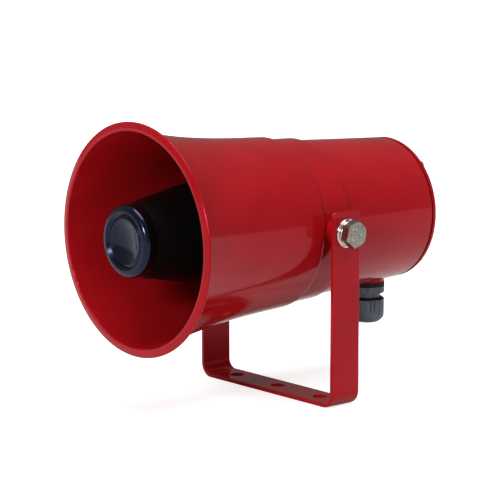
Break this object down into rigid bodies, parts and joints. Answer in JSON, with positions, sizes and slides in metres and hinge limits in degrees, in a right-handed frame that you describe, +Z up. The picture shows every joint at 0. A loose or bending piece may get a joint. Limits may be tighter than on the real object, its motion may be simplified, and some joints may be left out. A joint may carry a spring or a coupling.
{
  "type": "alarm siren",
  "caption": "Horn alarm siren: red flared bell with a black folded reflector, round rear housing with cable gland, tilting on a U-bracket.",
  "frame": {"origin": "centre of the underside of the bracket's base, on the middle fixing hole's axis", "axes": "+Z up from the mounting surface, the horn's mouth faces -Y, +X along the tilt axis to the right as seen from the front"},
  "size_m": [0.1624, 0.2491, 0.203],
  "materials": {
    "red_enamel": "gloss red enamel on aluminium and steel",
    "stainless": "stainless steel",
    "zinc_steel": "zinc-plated steel",
    "black_abs": "moulded gloss black",
    "black_rubber": "matt black rubber",
    "grey_nylon": "moulded dark grey nylon",
    "cast_aluminium": "as cast",
    "diaphragm_film": "amber polyimide film",
    "copper_wire": "enamelled copper winding",
    "plated_steel": "nickel-plated iron",
    "ferrite": "dark sintered ferrite",
    "brass": "turned brass",
    "green_laminate": "glass-fibre laminate with solder mask",
    "green_polymer": "moulded green",
    "blue_polymer": "moulded blue",
    "white_polymer": "moulded white",
    "black_epoxy": "moulded black epoxy"
  },
  "bodies": {
    "bracket": {"bracket": "red_enamel"},
    "horn": {"back_plate": "plated_steel", "bell_gasket": "black_rubber", "bell_screws": "zinc_steel", "board_screws": "zinc_steel", "board_standoffs": "brass", "capacitors": "black_epoxy", "circuit_board": "green_laminate", "control_chip": "black_epoxy", "cover_gasket": "black_rubber", "cover_screws": "stainless", "diaphragm_surround": "diaphragm_film", "driver_adaptor": "cast_aluminium", "driver_gasket": "black_rubber", "driver_screws": "zinc_steel", "flat_washers": "stainless", "gland_body": "grey_nylon", "gland_claw": "grey_nylon", "gland_locknut": "grey_nylon", "gland_neck_ring": "black_rubber", "gland_seal": "black_rubber", "gland_washer": "black_rubber", "heat_sink": "cast_aluminium", "horn_bell": "red_enamel", "horn_bowl": "red_enamel", "housing_screws": "zinc_steel", "housing_seal": "black_rubber", "nose_cap": "black_abs", "nose_screw": "zinc_steel", "phase_plug": "black_abs", "pivot_bolts": "stainless", "pivot_ring": "red_enamel", "power_transistors": "black_epoxy", "rear_cover": "red_enamel", "rear_housing": "red_enamel", "reflector": "black_abs", "ring_magnet": "ferrite", "sound_tube": "black_abs", "spring_washers": "stainless", "terminal_block": "green_polymer", "terminal_screws": "zinc_steel", "tone_switch": "blue_polymer", "top_plate": "plated_steel", "transformer_coil": "copper_wire", "transformer_core": "plated_steel", "tube_screws": "zinc_steel", "volume_trimmer": "blue_polymer"},
    "diaphragm_assembly": {"diaphragm": "diaphragm_film", "voice_coil": "copper_wire"},
    "tone_lever_1": {"tone_lever_1": "white_polymer"},
    "tone_lever_2": {"tone_lever_2": "white_polymer"},
    "tone_lever_3": {"tone_lever_3": "white_polymer"},
    "tone_lever_4": {"tone_lever_4": "white_polymer"},
    "tone_lever_5": {"tone_lever_5": "white_polymer"},
    "volume_rotor": {"volume_rotor": "white_polymer"},
    "gland_nut": {"gland_nut": "grey_nylon"}
  },
  "joints": [
    {"name": "horn_tilt", "type": "hinge", "parent": "bracket", "child": "horn", "pos_m": [0, 0, 0.123], "axis": [1, 0, 0], "range_deg": [-25, 20]},
    {"name": "diaphragm_travel", "type": "slide", "parent": "horn", "child": "diaphragm_assembly", "axis": [0, 1, 0], "range_m": [-0.0004, 0.0004], "stiffness_N_per_m": 3000},
    {"name": "tone_switch_1", "type": "slide", "parent": "horn", "child": "tone_lever_1", "axis": [0, 0, 1], "range_m": [0, 0.0016]},
    {"name": "tone_switch_2", "type": "slide", "parent": "horn", "child": "tone_lever_2", "axis": [0, 0, 1], "range_m": [0, 0.0016]},
    {"name": "tone_switch_3", "type": "slide", "parent": "horn", "child": "tone_lever_3", "axis": [0, 0, 1], "range_m": [0, 0.0016]},
    {"name": "tone_switch_4", "type": "slide", "parent": "horn", "child": "tone_lever_4", "axis": [0, 0, 1], "range_m": [0, 0.0016]},
    {"name": "tone_switch_5", "type": "slide", "parent": "horn", "child": "tone_lever_5", "axis": [0, 0, 1], "range_m": [0, 0.0016]},
    {"name": "volume_turn", "type": "hinge", "parent": "horn", "child": "volume_rotor", "pos_m": [-0.012, 0.062, 0.1425], "axis": [0, 1, 0], "range_deg": [-135, 135]},
    {"name": "gland_nut_turn", "type": "hinge", "parent": "horn", "child": "gland_nut", "pos_m": [0, 0.089, 0.047], "axis": [0, 0, -1], "range_deg": [0, 360]}
  ]
}
